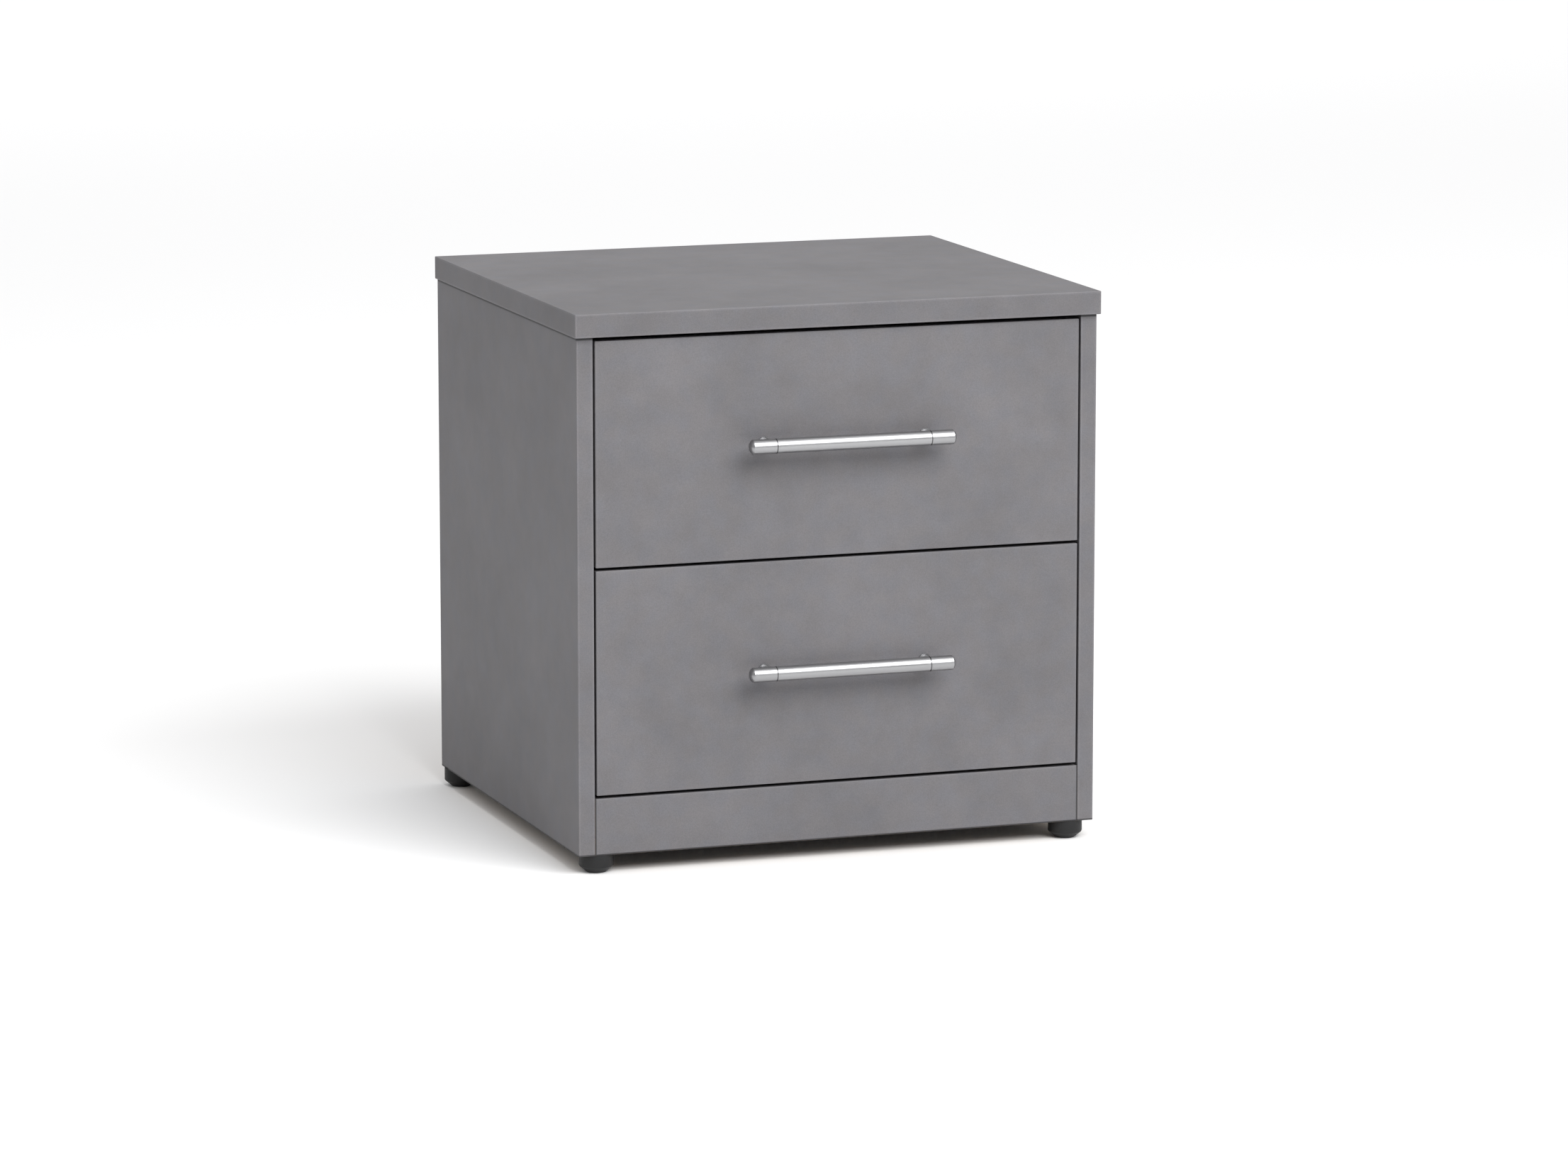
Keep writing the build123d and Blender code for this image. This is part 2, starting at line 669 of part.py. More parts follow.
    with BuildPart() as drawer_axles:
        for s in SIDES.values():
            root = Vector(s * box_x, drawer_roller_y, edge_z + drawer_roller_rise)
            shank = runner_space - roller_offset + head_gap
            rod(root, X * s, axle_radius, shank)
            rod(root + X * s * shank, X * s, axle_head_radius, axle_head_thickness)
    finish(drawer_axles, f"{drawer_name}_drawer_roller_axles")

    with BuildPart() as drawer_screws:
        for s in SIDES.values():
            for y in runner_screws_y:
                screw(Vector(s * screw_line_x, y, edge_z - sheet_metal), Z)
    finish(drawer_screws, f"{drawer_name}_drawer_runner_screws")

    # Handle: a tube between two end castings, each with its own post
    tube_half = handle_tube_length / 2
    with BuildPart() as handle_bar:
        tube_start = Vector(handle_shift - tube_half, bar_y, bar_z)
        rod(tube_start, X, handle_radius, handle_tube_length)
        rod(tube_start, X, handle_radius - handle_wall, handle_tube_length, Mode.SUBTRACT)
    finish(handle_bar, f"{drawer_name}_handle_bar")

    for side_name, s in SIDES.items():
        post_x = handle_shift + s * handle_spacing / 2
        bar_axis = Vector(handle_shift + s * tube_half, bar_y, bar_z)
        tip = handle_half_length - tube_half
        cap_length = tip - handle_dome
        groove_radius = handle_radius - handle_groove_depth
        with BuildPart() as handle_end:
            rod(Vector(post_x, front_y, bar_z), -Y, post_radius, handle_reach)
            rod(Vector(post_x, front_y, bar_z), -Y, post_foot_radius, post_foot_thickness)
            rod(bar_axis, X * -s, handle_radius, handle_spigot_length, Mode.SUBTRACT)
            profile = Plane(origin=bar_axis, x_dir=X * s, z_dir=Y)
            with BuildSketch(profile):
                with BuildLine():
                    Polyline(
                        (-handle_spigot_length, 0),
                        (-handle_spigot_length, handle_radius - handle_wall),
                        (0, handle_radius - handle_wall),
                        (0, groove_radius),
                        (handle_groove_width, groove_radius),
                        (handle_groove_width, handle_radius),
                        (cap_length, handle_radius),
                    )
                    TangentArc((tip, 0), (cap_length, handle_radius), tangent=(0, 1))
                    Line((tip, 0), (-handle_spigot_length, 0))
                make_face()
            revolve(axis=Axis(bar_axis, X))
            rod(Vector(post_x, front_y, bar_z), -Y, handle_screw_radius, handle_screw_bite, Mode.SUBTRACT)
        finish(handle_end, f"{drawer_name}_handle_{side_name}_end")

    with BuildPart() as handle_screws:
        for s in SIDES.values():
            seat = Vector(handle_shift + s * handle_spacing / 2, box_y, bar_z)
            rod(seat, -Y, handle_screw_radius, board + handle_screw_bite)
            rod(seat, Y, handle_screw_head_radius, handle_screw_head_height)
            head_top = seat + Y * handle_screw_head_height
            cross_recess(head_top, -Y, cross_length, cross_width, cross_depth)
    finish(handle_screws, f"{drawer_name}_handle_screws")
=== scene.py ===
"""Looks for a nightstand with two drawers: graphite melamine boards, bar handles and roller runners."""

import json
import math

import bpy
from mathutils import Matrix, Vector


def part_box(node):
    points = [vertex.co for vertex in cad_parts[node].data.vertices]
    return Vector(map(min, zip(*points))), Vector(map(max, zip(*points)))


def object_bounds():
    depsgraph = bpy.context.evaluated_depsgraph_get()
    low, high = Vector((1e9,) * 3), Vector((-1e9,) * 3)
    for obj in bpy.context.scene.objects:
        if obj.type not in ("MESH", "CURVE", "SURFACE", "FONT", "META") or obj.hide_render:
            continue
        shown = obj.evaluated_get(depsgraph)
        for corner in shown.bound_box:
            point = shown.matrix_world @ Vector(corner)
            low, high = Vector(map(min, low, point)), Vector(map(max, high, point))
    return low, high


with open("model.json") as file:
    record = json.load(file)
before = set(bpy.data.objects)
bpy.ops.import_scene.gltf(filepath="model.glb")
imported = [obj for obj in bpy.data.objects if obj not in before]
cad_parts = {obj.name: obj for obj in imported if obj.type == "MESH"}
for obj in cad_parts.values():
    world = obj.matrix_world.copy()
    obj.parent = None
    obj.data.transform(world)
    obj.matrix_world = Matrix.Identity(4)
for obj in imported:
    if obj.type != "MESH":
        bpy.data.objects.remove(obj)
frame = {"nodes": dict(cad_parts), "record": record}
cad_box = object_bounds()
NODES = frame["nodes"]

MM = 0.001
DRAWERS = ("upper", "lower")
X, Y, Z = range(3)  # axes
LEFT, RIGHT, FRONT, BACK, DOWN, UP = (-1, 0, 0), (1, 0, 0), (0, -1, 0), (0, 1, 0), (0, 0, -1), (0, 0, 1)
ENDS = ((LEFT, RIGHT), (FRONT, BACK), (DOWN, UP))  # of the three axes

# ---------------------------------------------------------------- camera
LENS = 151.775  # mm, on a 36 mm wide sensor
SENSOR_WIDTH = 36.0
CAMERA_YAW = 19.205  # degrees to the right of the straight front view
CAMERA_PITCH = 10.007  # degrees downwards
CAMERA_FAR = 100.0
CAMERA_OFFSET = Vector((-2.0578, -5.749, 1.3173))  # from the middle of the sides' lower front edges

# ---------------------------------------------------------------- light
HORIZON_STRENGTH = 0.3
ZENITH_STRENGTH = 1.2
FLOOR_COLOUR = (0.82, 0.82, 0.822)
FLOOR_HALF_SIZE = 30.0
KEY_OFFSET = (1.8, -5.5, 5.0)  # from the middle of the object, at which it aims
KEY_SIZE = (6.5, 4.5)
KEY_POWER = 700
BACKDROP_OFFSET = (2.5, 9.0, 3.0)  # over the floor behind the object
BACKDROP_AIM = (0.0, 0.1, -1.0)
BACKDROP_SIZE = (9.0, 5.0)
BACKDROP_POWER = 75


# ---------------------------------------------------------------- node helpers
MIX_FACTOR, MIX_COLOUR_A, MIX_COLOUR_B, MIX_RESULT = 0, 6, 7, 2  # the Mix node's sockets for colours


def new_material(name):
    """An empty node material with its Principled shader: (material, tree, shader)."""
    material = bpy.data.materials.new(name)
    material.use_nodes = True
    tree = material.node_tree
    return material, tree, tree.nodes["Principled BSDF"]


def add(tree, kind, inputs=(), **settings):
    """A node of that kind. inputs pairs a socket's name or number with a value or another socket."""
    made = tree.nodes.new("ShaderNode" + kind)
    for key, value in settings.items():
        setattr(made, key, value)
    for key, value in dict(inputs).items():
        if isinstance(value, bpy.types.NodeSocket):
            tree.links.new(value, made.inputs[key])
        else:
            made.inputs[key].default_value = value
    return made


def math_node(tree, operation, *values):
    return add(tree, "Math", enumerate(values), operation=operation).outputs[0]


def vector_node(tree, operation, *values):
    made = add(tree, "VectorMath", enumerate(values), operation=operation)
    return made.outputs["Value" if operation == "DOT_PRODUCT" else "Vector"]


def coordinates(tree, seed=0.0, scale=(1.0, 1.0, 1.0)):
    """The piece's own coordinates, shifted by a seed and stretched."""
    own = add(tree, "TexCoord").outputs["Object"]
    mapping = {"Vector": own, "Location": (seed, 1.7 * seed, 2.3 * seed), "Scale": scale}
    return add(tree, "Mapping", mapping).outputs["Vector"]


def noise(tree, vector, scale, detail=2.0, roughness=0.5):
    inputs = {"Vector": vector, "Scale": scale, "Detail": detail, "Roughness": roughness}
    return add(tree, "TexNoise", inputs).outputs["Fac"]


def remap(tree, value, low, high, from_low=0.0, from_high=1.0):
    """value, mapped from one range onto another and kept inside it."""
    given = {"Value": value, "From Min": from_low, "From Max": from_high}
    return add(tree, "MapRange", {**given, "To Min": low, "To Max": high}).outputs["Result"]


def mix_colours(tree, factor, first, second):
    inputs = {MIX_FACTOR: factor, MIX_COLOUR_A: first, MIX_COLOUR_B: second}
    return add(tree, "Mix", inputs, data_type="RGBA").outputs[MIX_RESULT]


def rgba(colour):
    return (*colour, 1.0)


def bump(tree, shader, height, distance):
    inputs = {"Height": height, "Distance": distance}
    tree.links.new(add(tree, "Bump", inputs).outputs["Normal"], shader.inputs["Normal"])


def link(tree, socket, shader, name):
    tree.links.new(socket, shader.inputs[name])


# ---------------------------------------------------------------- boards
CHIP_LIGHT = (0.47, 0.33, 0.19)
CHIP_DARK = (0.20, 0.12, 0.06)
CHIP_WARP = 2.5 * MM
CHIP_ROUGHNESS = 0.85
CHIP_HEIGHT = 6.0  # times that of the print
FACING = 0.9  # cosine above which a face counts as facing a direction

BAND_THICKNESS = 1.0 * MM
SAME_TONE = 1.0  # of edge bands beside their board's faces
TOP_BAND_TONE = 0.96
SEAM_HALF_WIDTH = 0.1 * MM
SEAM_TONE = 0.72
# painted highlight along the boards' rounded edges: its width and its brightening
EDGE_HIGHLIGHT_WIDTH = 2.2 * MM
EDGE_HIGHLIGHT_TONE = 1.16
# painted shade along the boards' bare ends where they meet: its width, its darkening and its
# full-strength core
JOINT_SHADE_WIDTH = 1.8 * MM
JOINT_SHADE_TONE = 0.25
JOINT_SHADE_CORE = 0.6  # how much of a painted joint shade line's width is at its full strength
OVERHANG_SHADOW_WIDTH = 3.0 * MM  # width of the painted shadow under the top panel, which passes the sides
GRAPHITE_WARM = (0.126, 0.121, 0.126)
GRAPHITE_COOL = (0.123, 0.121, 0.130)
FOIL_DARK = (0.385, 0.378, 0.385)
FOIL_LIGHT = (0.455, 0.446, 0.452)


def chipboard(tree, vector):
    """Raw chipboard on a cut edge: pressed wood chips. Returns colour and height."""
    warp = add(tree, "TexNoise", {"Vector": vector, "Scale": 90.0, "Detail": 1.0}).outputs["Color"]
    shift = add(tree, "VectorMath", {"Vector": warp, "Scale": CHIP_WARP}, operation="SCALE")
    warped = vector_node(tree, "ADD", vector, shift.outputs["Vector"])
    chips = add(tree, "TexVoronoi", {"Vector": warped, "Scale": 420.0, "Randomness": 1.0})
    tone = add(tree, "SeparateColor", {"Color": chips.outputs["Color"]}).outputs["Red"]
    fibre = noise(tree, vector, 1500.0, 2.0)
    shade = math_node(tree, "MULTIPLY_ADD", fibre, 0.35, math_node(tree, "MULTIPLY", tone, 0.75))
    colour = mix_colours(tree, shade, rgba(CHIP_DARK), rgba(CHIP_LIGHT))
    return colour, math_node(tree, "MULTIPLY", shade, 0.5)


def facing_mask(tree, directions):
    """1 where the surface faces one of the directions."""
    normal = add(tree, "TexCoord").outputs["Normal"]
    mask = None
    for direction in directions:
        facing = vector_node(tree, "DOT_PRODUCT", normal, direction)
        here = math_node(tree, "GREATER_THAN", facing, FACING)
        mask = here if mask is None else math_node(tree, "MAXIMUM", mask, here)
    return mask


def insets(tree, node):
    """How far the surface lies in from the nearer end of the node's box, along each axis."""
    low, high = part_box(node)
    own = add(tree, "TexCoord").outputs["Object"]
    parts = add(tree, "SeparateXYZ", {"Vector": own}).outputs
    found = []
    for axis in (X, Y, Z):
        off = math_node(tree, "SUBTRACT", parts[axis], (low[axis] + high[axis]) / 2)
        off = math_node(tree, "ABSOLUTE", off)
        found.append(math_node(tree, "SUBTRACT", (high[axis] - low[axis]) / 2, off))
    return found


def band_seam(tree, inset, banded_axes):
    """1 on the fine joint lines between a board's faces and its edge bands."""
    nearest = inset[banded_axes[0]]
    for axis in banded_axes[1:]:
        nearest = math_node(tree, "MINIMUM", nearest, inset[axis])
    return math_node(tree, "COMPARE", nearest, BAND_THICKNESS, SEAM_HALF_WIDTH)


def painted_edge_highlights(tree, inset):
    """1 along the board's rounded edges, where two of the three insets are small: a painted highlight
    that brightens the edges as if they caught the light.
    """
    x, y, z = inset
    smaller = math_node(tree, "MINIMUM", x, y)
    larger = math_node(tree, "MAXIMUM", x, y)
    second = math_node(tree, "MAXIMUM", smaller, math_node(tree, "MINIMUM", larger, z))
    return remap(tree, second, 1.0, 0.0, EDGE_HIGHLIGHT_WIDTH / 2, EDGE_HIGHLIGHT_WIDTH)


def painted_joint_shade(tree, node, directions):
    """1 on the painted shade along each bare end of a board, where it meets the next one: a thin dark
    line, wider under the top panel's overhang.
    """
    low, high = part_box(node)
    own = add(tree, "TexCoord").outputs["Object"]
    mask = None
    for direction in directions:
        end = max(Vector(direction).dot(low), Vector(direction).dot(high))
        away = math_node(tree, "SUBTRACT", end, vector_node(tree, "DOT_PRODUCT", own, direction))
        width = OVERHANG_SHADOW_WIDTH if direction == UP else JOINT_SHADE_WIDTH
        here = remap(tree, away, 1.0, 0.0, JOINT_SHADE_CORE * width, width)
        mask = here if mask is None else math_node(tree, "MAXIMUM", mask, here)
    return mask


def melamine(name, node, seed, contrast, band_tone, banded_axes, raw):
    """Graphite melamine: soft clouds, finer mottling and a fine grain, with bands on its edges, a
    painted highlight along its rounded edges and painted shade along its bare joints.
    """
    material, tree, shader = new_material(name)
    vector = coordinates(tree, seed)
    clouds = noise(tree, vector, 9.0, 3.0, 0.5)
    mottle = noise(tree, vector, 38.0, 4.0, 0.6)
    tint = noise(tree, vector, 55.0, 2.0, 0.5)
    grain = noise(tree, vector, 900.0, 2.0, 0.7)
    inset = insets(tree, node)
    line = band_seam(tree, inset, banded_axes)
    # painted highlight along the rounded edges, brightening them as if they caught the light
    edge_highlight = painted_edge_highlights(tree, inset)
    on_band = facing_mask(tree, [direction for axis in banded_axes for direction in ENDS[axis]])

    drift = math_node(tree, "MULTIPLY_ADD", clouds, 0.6, math_node(tree, "MULTIPLY", mottle, 0.4))
    brightness = remap(tree, drift, 1 - contrast, 1 + contrast, 0.35, 0.65)
    for factor in (
        remap(tree, grain, 0.87, 1.13, 0.25, 0.75),
        remap(tree, line, 1.0, SEAM_TONE),
        remap(tree, edge_highlight, 1.0, EDGE_HIGHLIGHT_TONE),
        remap(tree, on_band, 1.0, band_tone),
    ):
        brightness = math_node(tree, "MULTIPLY", brightness, factor)
    cooler = remap(tree, tint, 0.0, 1.0, 0.4, 0.65)
    hue = mix_colours(tree, cooler, rgba(GRAPHITE_WARM), rgba(GRAPHITE_COOL))
    roughness = remap(tree, grain, 0.5, 0.62, 0.3, 0.7)
    height = math_node(tree, "SUBTRACT", math_node(tree, "MULTIPLY", grain, 0.5), line)
    # painted shade along the bare ends where boards meet, wider as painted shadow under the top's
    # overhang
    if raw:
        joint_shade = remap(tree, painted_joint_shade(tree, node, raw), 1.0, JOINT_SHADE_TONE)
        brightness = math_node(tree, "MULTIPLY", brightness, joint_shade)
    colour = vector_node(tree, "MULTIPLY", hue, brightness)
    if raw:
        mask = facing_mask(tree, raw)
        chip_colour, chip_height = chipboard(tree, vector)
        colour = mix_colours(tree, mask, colour, chip_colour)
        chip_roughness = math_node(tree, "MULTIPLY", mask, CHIP_ROUGHNESS)
        roughness = math_node(tree, "MAXIMUM", roughness, chip_roughness)
        chip_height = math_node(tree, "MULTIPLY", chip_height, mask)
        height = math_node(tree, "MULTIPLY_ADD", chip_height, CHIP_HEIGHT, height)
    link(tree, colour, shader, "Base Color")
    link(tree, roughness, shader, "Roughness")
    shader.inputs["Specular IOR Level"].default_value = 0.3
    bump(tree, shader, height, 0.06 * MM)
    return material


def foil_board(name, seed, raw):
    """A drawer board: light grey paper foil with a fine print, raw where it is cut across."""
    material, tree, shader = new_material(name)
    vector = coordinates(tree, seed)
    print_noise = noise(tree, vector, 60.0, 4.0, 0.6)
    grain = noise(tree, vector, 1100.0, 2.0, 0.6)
    shade = math_node(tree, "MULTIPLY_ADD", grain, 0.4, math_node(tree, "MULTIPLY", print_noise, 0.6))
    foil = mix_colours(tree, shade, rgba(FOIL_DARK), rgba(FOIL_LIGHT))
    mask = facing_mask(tree, raw)
    chip_colour, chip_height = chipboard(tree, vector)
    link(tree, mix_colours(tree, mask, foil, chip_colour), shader, "Base Color")
    chip_roughness = math_node(tree, "MULTIPLY", mask, CHIP_ROUGHNESS)
    roughness = math_node(tree, "MAXIMUM", remap(tree, grain, 0.46, 0.58), chip_roughness)
    link(tree, roughness, shader, "Roughness")
    chip_height = math_node(tree, "MULTIPLY", chip_height, mask)
    height = math_node(tree, "MULTIPLY_ADD", chip_height, CHIP_HEIGHT, grain)
    bump(tree, shader, height, 0.05 * MM)
    return material


def hardboard(name, seed, raw_side):
    """Thin fibreboard: grey lacquer on one face, brown pressed fibres on the other and on its edges."""
    material, tree, shader = new_material(name)
    vector = coordinates(tree, seed)
    fibres = noise(tree, vector, 260.0, 5.0, 0.75)
    blotches = noise(tree, vector, 14.0, 3.0, 0.5)
    brown = mix_colours(tree, fibres, rgba((0.15, 0.085, 0.045)), rgba((0.33, 0.21, 0.12)))
    brown = mix_colours(tree, remap(tree, blotches, 0.0, 0.5), brown, rgba((0.27, 0.17, 0.10)))
    lacquer = mix_colours(tree, fibres, rgba((0.43, 0.42, 0.425)), rgba((0.50, 0.49, 0.49)))
    normal = add(tree, "TexCoord").outputs["Normal"]
    lacquered = math_node(tree, "LESS_THAN", vector_node(tree, "DOT_PRODUCT", normal, raw_side), -0.5)
    link(tree, mix_colours(tree, lacquered, brown, lacquer), shader, "Base Color")
    link(tree, remap(tree, lacquered, 0.78, 0.42), shader, "Roughness")
    bump(tree, shader, fibres, 0.08 * MM)
    return material


# ---------------------------------------------------------------- plastics
SCUFFED_HEIGHT = 7.0 * MM


def black_plastic():
    """Moulded black plastic with a fine spark texture, and scuffs where a foot meets the floor."""
    material, tree, shader = new_material("black_plastic_moulded")
    vector = coordinates(tree)
    texture = noise(tree, vector, 1300.0, 2.0, 0.6)
    patches = noise(tree, vector, 70.0, 3.0, 0.6)
    scuffs = noise(tree, coordinates(tree, 0.4, (60.0, 60.0, 900.0)), 4.0, 3.0, 0.7)
    own = add(tree, "TexCoord").outputs["Object"]
    height_up = add(tree, "SeparateXYZ", {"Vector": own}).outputs["Z"]
    near_floor = remap(tree, height_up, 1.0, 0.0, 0.0, SCUFFED_HEIGHT)
    worn = math_node(tree, "MULTIPLY", near_floor, remap(tree, scuffs, 0.0, 1.0, 0.5, 0.75))
    plastic = mix_colours(tree, patches, rgba((0.010, 0.010, 0.0105)), rgba((0.015, 0.015, 0.0155)))
    link(tree, mix_colours(tree, worn, plastic, rgba((0.035, 0.035, 0.035))), shader, "Base Color")
    link(tree, remap(tree, texture, 0.42, 0.6, 0.3, 0.7), shader, "Roughness")
    shader.inputs["Specular IOR Level"].default_value = 0.3
    bump(tree, shader, texture, 0.05 * MM)
    return material


def nylon():
    """Natural white nylon of the rollers, a little translucent, with fine turning rings."""
    material, tree, shader = new_material("nylon_roller")
    vector = coordinates(tree)
    flow = noise(tree, vector, 180.0, 3.0, 0.5)
    fine = noise(tree, vector, 1800.0, 1.0)
    colour = mix_colours(tree, flow, rgba((0.76, 0.75, 0.70)), rgba((0.85, 0.84, 0.80)))
    link(tree, colour, shader, "Base Color")
    link(tree, remap(tree, fine, 0.34, 0.46), shader, "Roughness")
    shader.inputs["Subsurface Weight"].default_value = 0.15
    shader.inputs["Subsurface Scale"].default_value = 1.5 * MM
    shader.inputs["Subsurface Radius"].default_value = (1.0, 0.9, 0.7)
    bump(tree, shader, fine, 0.02 * MM)
    return material


def beech():
    """Raw beech of the dowels, with its short dark flecks."""
    material, tree, shader = new_material("beech_dowel_wood")
    vector = coordinates(tree, 0.2)
    figure = noise(tree, vector, 220.0, 4.0, 0.6)
    flecks = noise(tree, vector, 1600.0, 2.0, 0.8)
    wood = mix_colours(tree, figure, rgba((0.50, 0.33, 0.19)), rgba((0.68, 0.49, 0.31)))
    fleck_mask = remap(tree, flecks, 0.0, 0.6, 0.6, 0.75)
    link(tree, mix_colours(tree, fleck_mask, wood, rgba((0.30, 0.17, 0.09))), shader, "Base Color")
    link(tree, remap(tree, figure, 0.6, 0.75), shader, "Roughness")
    bump(tree, shader, flecks, 0.05 * MM)
    return material


# ---------------------------------------------------------------- metals
RING_MIDDLE = 0.4 * MM  # past the end of the tube
RING_HALF_WIDTH = 0.55 * MM
RING_COLOUR = (0.17, 0.17, 0.175)


def joint_ring(tree):
    """1 on the dark rings where the handle's tube meets its end pieces."""
    low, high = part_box("upper_handle_bar")
    own = add(tree, "TexCoord").outputs["Object"]
    parts = add(tree, "SeparateXYZ", {"Vector": own}).outputs
    away = math_node(tree, "ABSOLUTE", math_node(tree, "SUBTRACT", parts[X], (low.x + high.x) / 2))
    near_joint = math_node(tree, "COMPARE", away, (high.x - low.x) / 2 + RING_MIDDLE, RING_HALF_WIDTH)
    before_posts = math_node(tree, "LESS_THAN", parts[Y], high.y)
    return math_node(tree, "MULTIPLY", near_joint, before_posts)


def satin_aluminium():
    """The handle's tube: anodised aluminium, drawn and brushed along its length."""
    material, tree, shader = new_material("handle_aluminium_satin")
    streaks = noise(tree, coordinates(tree, 0.1, (12.0, 1500.0, 1500.0)), 1.0, 3.0, 0.6)
    fine = noise(tree, coordinates(tree, 0.3, (90.0, 5000.0, 5000.0)), 1.0, 2.0, 0.6)
    tone = math_node(tree, "MULTIPLY_ADD", streaks, 0.5, math_node(tree, "MULTIPLY", fine, 0.5))
    metal = mix_colours(tree, tone, rgba((0.33, 0.33, 0.337)), rgba((0.41, 0.41, 0.417)))
    link(tree, mix_colours(tree, joint_ring(tree), metal, rgba(RING_COLOUR)), shader, "Base Color")
    link(tree, remap(tree, tone, 0.26, 0.38, 0.3, 0.7), shader, "Roughness")
    shader.inputs["Metallic"].default_value = 1.0
    bump(tree, shader, tone, 0.02 * MM)
    return material


def satin_casting():
    """The handle's end pieces: plated die casting, linished to match the tube."""
    material, tree, shader = new_material("handle_casting_satin")
    streaks = noise(tree, coordinates(tree, 0.6, (20.0, 1300.0, 1300.0)), 1.0, 3.0, 0.6)
    grains = noise(tree, coordinates(tree, 0.8), 1500.0, 2.0, 0.6)
    tone = math_node(tree, "MULTIPLY_ADD", streaks, 0.6, math_node(tree, "MULTIPLY", grains, 0.4))
    metal = mix_colours(tree, tone, rgba((0.315, 0.315, 0.323)), rgba((0.395, 0.395, 0.402)))
    link(tree, mix_colours(tree, joint_ring(tree), metal, rgba(RING_COLOUR)), shader, "Base Color")
    link(tree, remap(tree, tone, 0.28, 0.40, 0.3, 0.7), shader, "Roughness")
    shader.inputs["Metallic"].default_value = 1.0
    bump(tree, shader, tone, 0.02 * MM)
    return material


def zinc():
    """Bright zinc plating: faint blue and yellow tints and fine scratches."""
    material, tree, shader = new_material("zinc_plating")
    vector = coordinates(tree)
    tint = noise(tree, vector, 160.0, 3.0, 0.6)
    scratches = noise(tree, coordinates(tree, 0.5, (3000.0, 3000.0, 500.0)), 1.0, 2.0, 0.7)
    colour = mix_colours(tree, tint, rgba((0.56, 0.60, 0.64)), rgba((0.68, 0.65, 0.56)))
    link(tree, colour, shader, "Base Color")
    link(tree, remap(tree, scratches, 0.24, 0.42, 0.3, 0.7), shader, "Roughness")
    shader.inputs["Metallic"].default_value = 1.0
    bump(tree, shader, scratches, 0.02 * MM)
    return material


def epoxy_coat():
    """The runners' light grey powder coat, with its fine orange peel."""
    material, tree, shader = new_material("runner_powder_coat")
    vector = coordinates(tree)
    peel = noise(tree, vector, 650.0, 1.5, 0.5)
    dust = noise(tree, vector, 45.0, 3.0, 0.6)
    colour = mix_colours(tree, dust, rgba((0.64, 0.64, 0.63)), rgba((0.72, 0.72, 0.71)))
    link(tree, colour, shader, "Base Color")
    link(tree, remap(tree, peel, 0.34, 0.46, 0.3, 0.7), shader, "Roughness")
    bump(tree, shader, peel, 0.08 * MM)
    return material


# ---------------------------------------------------------------- materials onto the CAD nodes
def dress(node, material):
    NODES[node].data.materials.clear()
    NODES[node].data.materials.append(material)


CALM, LIVELY = 0.09, 0.1  # contrast of the print

# node: contrast, tone of the edge bands, axes at whose ends the edges are banded,
# directions in which the board is cut and bare, with painted shade along those ends
MELAMINE_BOARDS = {
    "top_panel": (CALM, TOP_BAND_TONE, (X, Y), ()),
    "left_side_panel": (CALM, SAME_TONE, (Y,), (BACK, DOWN, UP)),
    "right_side_panel": (CALM, SAME_TONE, (Y,), (BACK, DOWN, UP)),
    "bottom_panel": (CALM, SAME_TONE, (Y,), (BACK, LEFT, RIGHT)),
    "plinth_rail": (CALM, SAME_TONE, (Z,), (LEFT, RIGHT, DOWN)),
    "rear_bottom_rail": (CALM, SAME_TONE, (Z,), (LEFT, RIGHT, DOWN)),
    "rear_top_rail": (CALM, SAME_TONE, (Z,), (LEFT, RIGHT, UP)),
    "upper_drawer_front": (LIVELY, SAME_TONE, (X, Z), ()),
    "lower_drawer_front": (LIVELY, SAME_TONE, (X, Z), ()),
}
for number, (node_name, facts) in enumerate(MELAMINE_BOARDS.items()):
    dress(node_name, melamine(f"melamine_{node_name}", node_name, 3.1 * number, *facts))

dress("back_panel", hardboard("hardboard_back", 0.7, BACK))
DRAWER_BOARDS = {"left_side": (FRONT, BACK), "right_side": (FRONT, BACK), "back": (LEFT, RIGHT)}
for number, drawer in enumerate(DRAWERS):
    dress(f"{drawer}_drawer_bottom", hardboard(f"hardboard_{drawer}", 1.9 + number, DOWN))
    for part, cut in DRAWER_BOARDS.items():
        node_name = f"{drawer}_drawer_{part}"
        dress(node_name, foil_board(f"foil_{node_name}", 2.7 * number + len(part), cut))

SLOT_MATERIALS = {
    "black_plastic": black_plastic(),
    "handle_aluminium": satin_aluminium(),
    "handle_casting": satin_casting(),
    "runner_steel": epoxy_coat(),
    "zinc_steel": zinc(),
    "nylon": nylon(),
    "beech_dowel": beech(),
}
for subpart in frame["record"]["subparts"]:
    if subpart["material_slot"] in SLOT_MATERIALS:
        dress(subpart["node"], SLOT_MATERIALS[subpart["material_slot"]])

# ---------------------------------------------------------------- floor, light and camera
scene = bpy.context.scene
scene.view_settings.view_transform = "Standard"

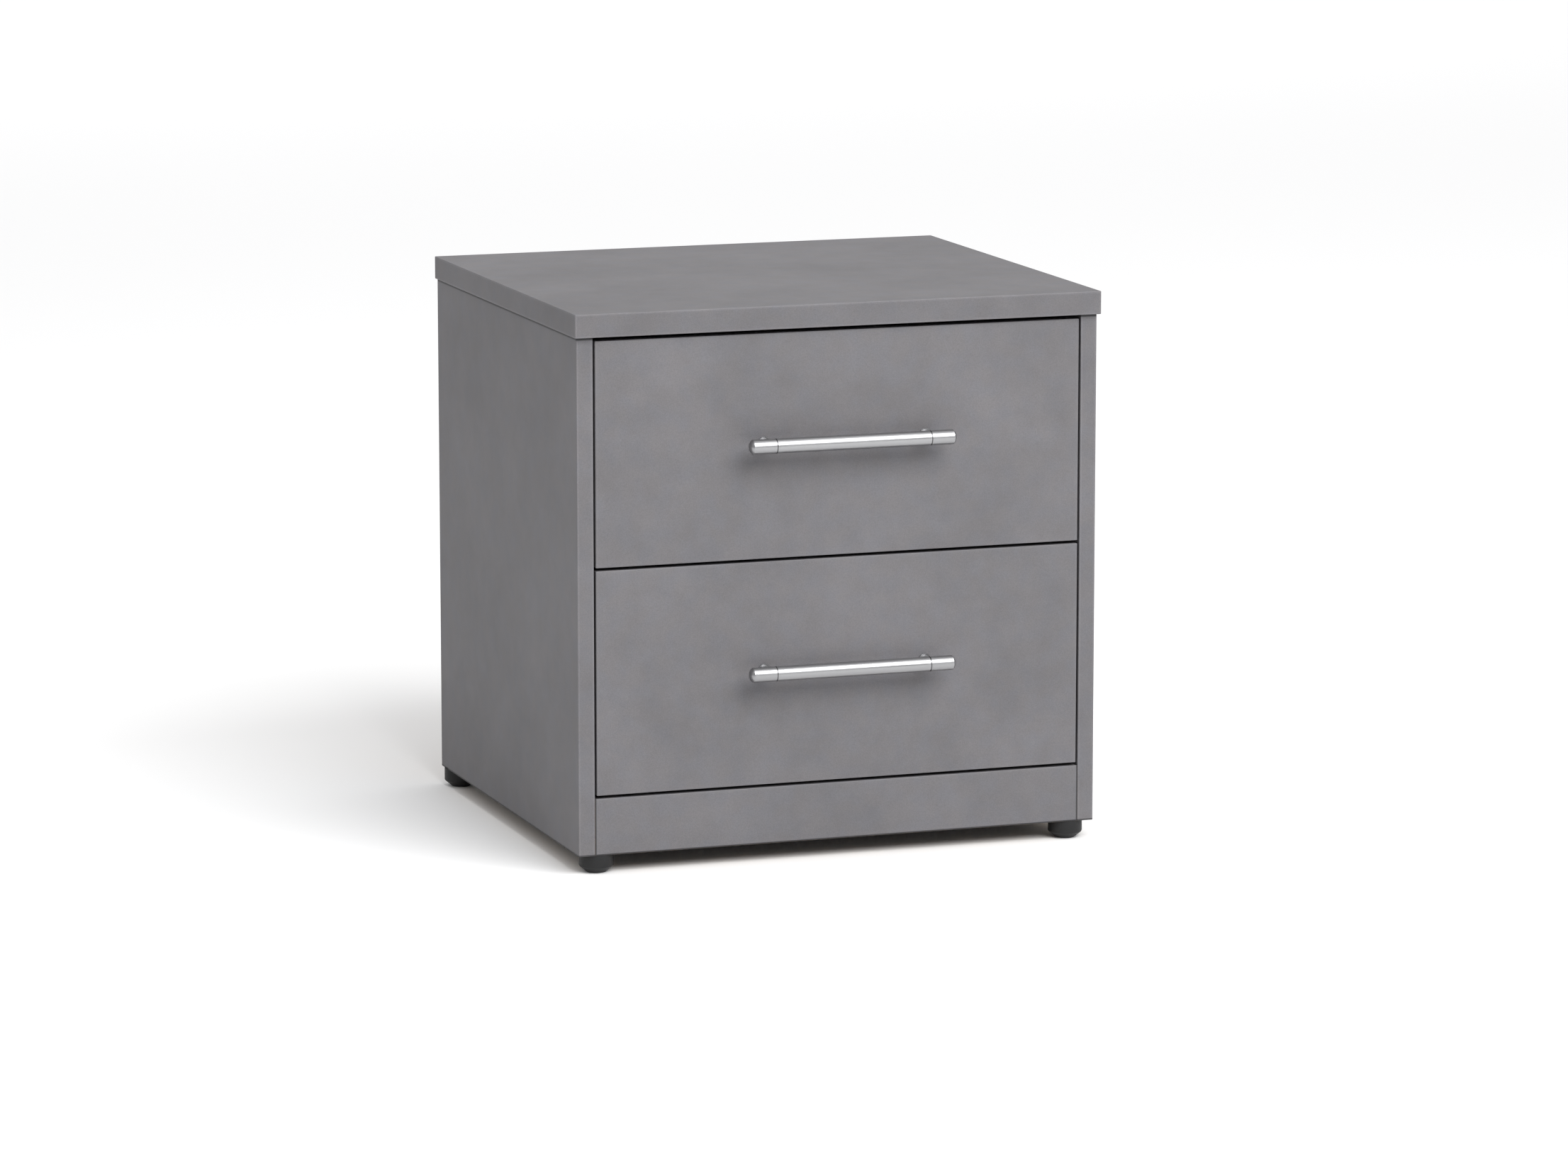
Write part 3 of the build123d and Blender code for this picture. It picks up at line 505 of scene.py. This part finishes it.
floor_mesh = bpy.data.meshes.new("floor")
FLOOR_SIGNS = ((-1, -1), (1, -1), (1, 1), (-1, 1))
corners = [(x * FLOOR_HALF_SIZE, y * FLOOR_HALF_SIZE, 0.0) for x, y in FLOOR_SIGNS]
floor_mesh.from_pydata(corners, [], [(0, 1, 2, 3)])
floor = bpy.data.objects.new("floor", floor_mesh)
scene.collection.objects.link(floor)
floor_material, _, floor_shader = new_material("floor_pale")
floor_shader.inputs["Base Color"].default_value = rgba(FLOOR_COLOUR)
floor_shader.inputs["Roughness"].default_value = 0.9
floor_shader.inputs["Specular IOR Level"].default_value = 0.1
floor_mesh.materials.append(floor_material)

world = bpy.data.worlds.new("studio")
scene.world = world
world.use_nodes = True
sky_direction = add(world.node_tree, "TexCoord").outputs["Generated"]
sky_height = add(world.node_tree, "SeparateXYZ", {"Vector": sky_direction}).outputs["Z"]
sky_strength = remap(world.node_tree, sky_height, HORIZON_STRENGTH, ZENITH_STRENGTH)
background = world.node_tree.nodes["Background"]
background.inputs["Color"].default_value = (1.0, 1.0, 1.0, 1.0)
world.node_tree.links.new(sky_strength, background.inputs["Strength"])

centre = (cad_box[0] + cad_box[1]) / 2


def softbox(name, offset, aim, size, power):
    """An area light at an offset from the object's middle, facing along aim."""
    light = bpy.data.lights.new(name, "AREA")
    light.shape = "RECTANGLE"
    light.size, light.size_y = size
    light.energy = power
    lamp = bpy.data.objects.new(name, light)
    lamp.location = centre + Vector(offset)
    lamp.rotation_euler = Vector(aim).to_track_quat("-Z", "Y").to_euler()
    scene.collection.objects.link(lamp)


softbox("key_light", KEY_OFFSET, [-length for length in KEY_OFFSET], KEY_SIZE, KEY_POWER)
softbox("backdrop_light", BACKDROP_OFFSET, BACKDROP_AIM, BACKDROP_SIZE, BACKDROP_POWER)

left_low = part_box("left_side_panel")[0]
right_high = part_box("right_side_panel")[1]
camera_target = Vector(((left_low.x + right_high.x) / 2, left_low.y, left_low.z))
camera = bpy.data.objects.new("camera", bpy.data.cameras.new("camera"))
camera.data.sensor_width = SENSOR_WIDTH
camera.data.sensor_fit = "HORIZONTAL"
camera.data.lens = LENS
camera.data.clip_end = CAMERA_FAR
camera.location = camera_target + CAMERA_OFFSET
camera.rotation_euler = (math.radians(90 - CAMERA_PITCH), 0, math.radians(-CAMERA_YAW))
scene.collection.objects.link(camera)
scene.camera = camera
